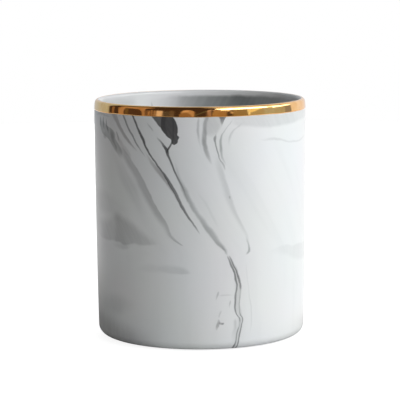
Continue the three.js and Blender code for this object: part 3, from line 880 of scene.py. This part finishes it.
def gold_lustre():
    """Fired gold: a mirror with slow ripples, faint cloudiness and a redder, thinner lower edge."""
    made, tree, shader, place = new_material("gold lustre")
    mottle = noise(tree, place, size=5, detail=3)[0]
    ripple = noise(tree, place, size=4, detail=1)[0]
    height = calc(tree, "SUBTRACT", calc(tree, "DIVIDE", split(tree, place)[2], MM), LUSTRE_FOOT_Z)
    colour = stain(tree, GOLD, GOLD_MOTTLE, ramp(tree, mottle, 0.35, 0.7, 0, 1))
    colour = stain(tree, colour, GOLD_THIN_EDGE, ramp(tree, height, 0.05, 0.45, 1, 0))
    plug(tree, shader.inputs["Base Color"], colour)
    shader.inputs["Metallic"].default_value = 1
    plug(tree, shader.inputs["Roughness"], ramp(tree, mottle, *NOISE_SPAN, *GOLD_ROUGHNESS))
    plug(tree, shader.inputs["Normal"], make_bump(tree, ripple, GOLD_RIPPLE))
    return made


def soft_pad():
    """Dark foam rubber: matt, with a fine open grain and a little dust."""
    made, tree, shader, place = new_material("soft pad")
    grain = noise(tree, place, size=0.25, detail=4)[0]
    dust = noise(tree, place, size=2.5, detail=3)[0]
    colour = stain(tree, RUBBER, RUBBER_PORES, ramp(tree, grain, 0.4, 0.6, 1, 0))
    plug(tree, shader.inputs["Base Color"], colour)
    plug(tree, shader.inputs["Roughness"], ramp(tree, dust, 0.35, 0.65, *RUBBER_ROUGHNESS))
    plug(tree, shader.inputs["Normal"], make_bump(tree, grain, RUBBER_GRAIN_DEPTH))
    return made


def finish_at(middle):
    """Which of its finishes the cup wears at a point of its surface."""
    radius = math.hypot(middle.x, middle.y)
    if middle.z > WALL_FOOT_Z:
        return INNER_GLAZE if radius < LIP_CENTRE else OUTER_GLAZE
    if radius < RECESS_RADIUS + RING_EDGE:
        return UNDERSIDE_GLAZE
    return BARE_CLAY if radius < FOOT_RING_RADIUS else OUTER_GLAZE


def dress_cup(cup):
    """Outer glaze on the wall and foot round, inner glaze in the well, and a bare foot ring."""
    group = stroke_group()
    outside = [(FRONT, FRONT_VEINS, FRONT_DRIFTS), (BACK, BACK_VEINS, BACK_DRIFTS)]
    inside = [(INSIDE_BACK, INSIDE_BACK_VEINS, INSIDE_BACK_DRIFTS), (INSIDE_FRONT, INSIDE_FRONT_VEINS, {})]
    cup.data.materials.append(glaze("marbled glaze", group, outside, OUTER_STREAKS))
    cup.data.materials.append(glaze("inner glaze", group, inside, INNER_STREAKS))
    cup.data.materials.append(glaze("underside glaze", group, [], OUTER_STREAKS))
    cup.data.materials.append(bare_clay())
    for face in cup.data.polygons:
        face.material_index = finish_at(face.center / MM)


def adopt(piece, node):
    """Puts a finished piece in its node's place on the body."""
    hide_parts(node)
    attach(piece, "root")


def make_camera():
    """The photograph's camera, a long lens a little above the rim."""
    elevation = math.radians(CAMERA_ELEVATION)
    middle_z = FOOT_Z + (CREST_Z - FOOT_Z) / 2
    back = CAMERA_DISTANCE * math.cos(elevation)
    place = Vector((0, -back, middle_z + CAMERA_DISTANCE * math.sin(elevation)))
    aim = Vector((-AIM_LEFT, 0, FOOT_Z + AIM_HEIGHT))
    camera = bpy.data.objects.new("camera", bpy.data.cameras.new("camera"))
    camera.data.lens = LENS
    camera.data.sensor_width = SENSOR_WIDTH
    camera.data.clip_start, camera.data.clip_end = CAMERA_REACH
    camera.location = place * MM
    camera.rotation_euler = (place - aim).to_track_quat("Z", "Y").to_euler()
    camera.rotation_euler.rotate_axis("Z", math.radians(CAMERA_ROLL))
    bpy.context.scene.collection.objects.link(camera)
    bpy.context.scene.camera = camera


def make_lamp(name, azimuth, elevation, distance, size, power, colour, mirrored=True):
    """A soft rectangular lamp that looks at the cup's middle. Its power is in watts."""
    lamp = bpy.data.objects.new(name, bpy.data.lights.new(name, "AREA"))
    lamp.data.shape = "RECTANGLE"
    lamp.data.size = size[0]
    lamp.data.size_y = size[1]
    lamp.data.energy = power
    lamp.data.color = colour
    turn = math.radians(azimuth)
    rise = math.radians(elevation)
    way = Vector((math.sin(turn) * math.cos(rise), -math.cos(turn) * math.cos(rise), math.sin(rise)))
    lamp.location = Vector((0, 0, (FOOT_Z + CREST_Z) / 2 * MM)) + way * distance
    lamp.rotation_euler = way.to_track_quat("Z", "Y").to_euler()
    lamp.visible_glossy = mirrored
    bpy.context.scene.collection.objects.link(lamp)


def light_paths(tree):
    """Whether the camera looks, and whether a mirror or clear glass does."""
    paths = add_node(tree, "LightPath").outputs
    return paths["Is Camera Ray"], calc(tree, "ADD", paths["Is Glossy Ray"], paths["Is Transmission Ray"])


def make_floor():
    """White paper: camera and mirror see a pale shade that takes the shadow and glows up to white, and it
    lights the foot from below."""
    shape = bmesh.new()
    bmesh.ops.create_circle(shape, cap_ends=True, segments=FLOOR_STEPS, radius=FLOOR_RADIUS)
    floor = add_object("floor", shape)
    paper, tree, shader, place = new_material("floor paper")
    camera_looks, mirror_looks = light_paths(tree)
    x, y, _ = split(tree, place)
    away = vector(tree, "LENGTH", place)
    glow = ramp(tree, away, *PAPER_GLOW_REACH, *PAPER_GLOW)
    behind = ramp(tree, y, *PAPER_EDGE, 0, 1)
    shade_end = ramp(tree, x, *LEFT_TO_RIGHT, *MIRRORED_SHADE)
    unshaded = calc(tree, "MULTIPLY", behind, ramp(tree, away, SHADE_START, shade_end, 0, 1))
    # Painted light: the mirrored paper glows brighter on the right, the lamps' side.
    mirrored = calc(tree, "MULTIPLY", ramp(tree, x, *LEFT_TO_RIGHT, *MIRRORED_PAPER), unshaded)
    seen = calc(tree, "MULTIPLY", glow, camera_looks)
    shown = calc(tree, "MULTIPLY", mirrored, mirror_looks)
    looked_at = calc(tree, "ADD", camera_looks, mirror_looks)
    plug(tree, shader.inputs["Base Color"], blend(tree, PAPER_BOUNCE, PAPER_COLOUR, looked_at))
    shader.inputs["Roughness"].default_value = PAPER_ROUGHNESS
    shader.inputs["Emission Color"].default_value = WHITE
    plug(tree, shader.inputs["Emission Strength"], calc(tree, "ADD", seen, shown))
    floor.data.materials.append(paper)


def room_colour(tree):
    """What a mirror sees of the world: the white backdrop behind the cup and a dim room before it."""
    x, y, z = split(tree, add_node(tree, "TexCoord").outputs["Generated"])
    azimuth = calc(tree, "DEGREES", calc(tree, "ARCTAN2", x, calc(tree, "MULTIPLY", y, -1)))
    elevation = calc(tree, "DEGREES", calc(tree, "ARCSINE", z))
    colour = (*ROOM_COLOUR, 1)
    for _, middle, half_width, level, half_height, corner, rise, tone in ROOM:
        tilted = calc(tree, "MULTIPLY_ADD", calc(tree, "SUBTRACT", azimuth, middle), rise, level)
        reach = []
        for value, centre, half in ((azimuth, middle, half_width), (elevation, tilted, half_height)):
            beyond = calc(tree, "ABSOLUTE", calc(tree, "SUBTRACT", value, centre))
            reach.append(calc(tree, "MAXIMUM", calc(tree, "SUBTRACT", beyond, half - corner), 0))
        squares = calc(tree, "MULTIPLY_ADD", reach[0], reach[0], calc(tree, "MULTIPLY", reach[1], reach[1]))
        inside = ramp(tree, calc(tree, "SQRT", squares), corner - ROOM_BLUR, corner + ROOM_BLUR, 1, 0)
        colour = blend(tree, colour, (*tone, 1), inside)
    white = blend(tree, BACKDROP_LEFT, BACKDROP_RIGHT, ramp(tree, x, *BACKDROP_SPREAD, 0, 1))
    return blend(tree, colour, white, ramp(tree, y, *BACKDROP_EDGE, 0, 1))


def make_world():
    """White to the camera, a room to mirrors, and weak even light to everything else."""
    world = bpy.data.worlds.new("studio")
    world.use_nodes = True
    bpy.context.scene.world = world
    tree = world.node_tree
    background = tree.nodes["Background"]
    camera_looks, mirror_looks = light_paths(tree)
    colour = blend(tree, AMBIENT, room_colour(tree), mirror_looks)
    plug(tree, background.inputs["Color"], blend(tree, colour, WHITE, camera_looks))
    background.inputs["Strength"].default_value = 1


cup = make_cup()
dress_cup(cup)
adopt(cup, "ceramic_cup")

gold = make_gold()
gold.data.materials.append(gold_lustre())
adopt(gold, "gold_rim")

pad_material = soft_pad()
for node in PADS:
    pad = make_pad(node)
    pad.data.materials.append(pad_material)
    adopt(pad, node)

make_camera()
make_floor()
make_world()
make_lamp("key", **KEY_LAMP)
make_lamp("side", **SIDE_LAMP)
make_lamp("back", **BACK_LAMP)

bpy.context.scene.view_settings.view_transform = "Standard"
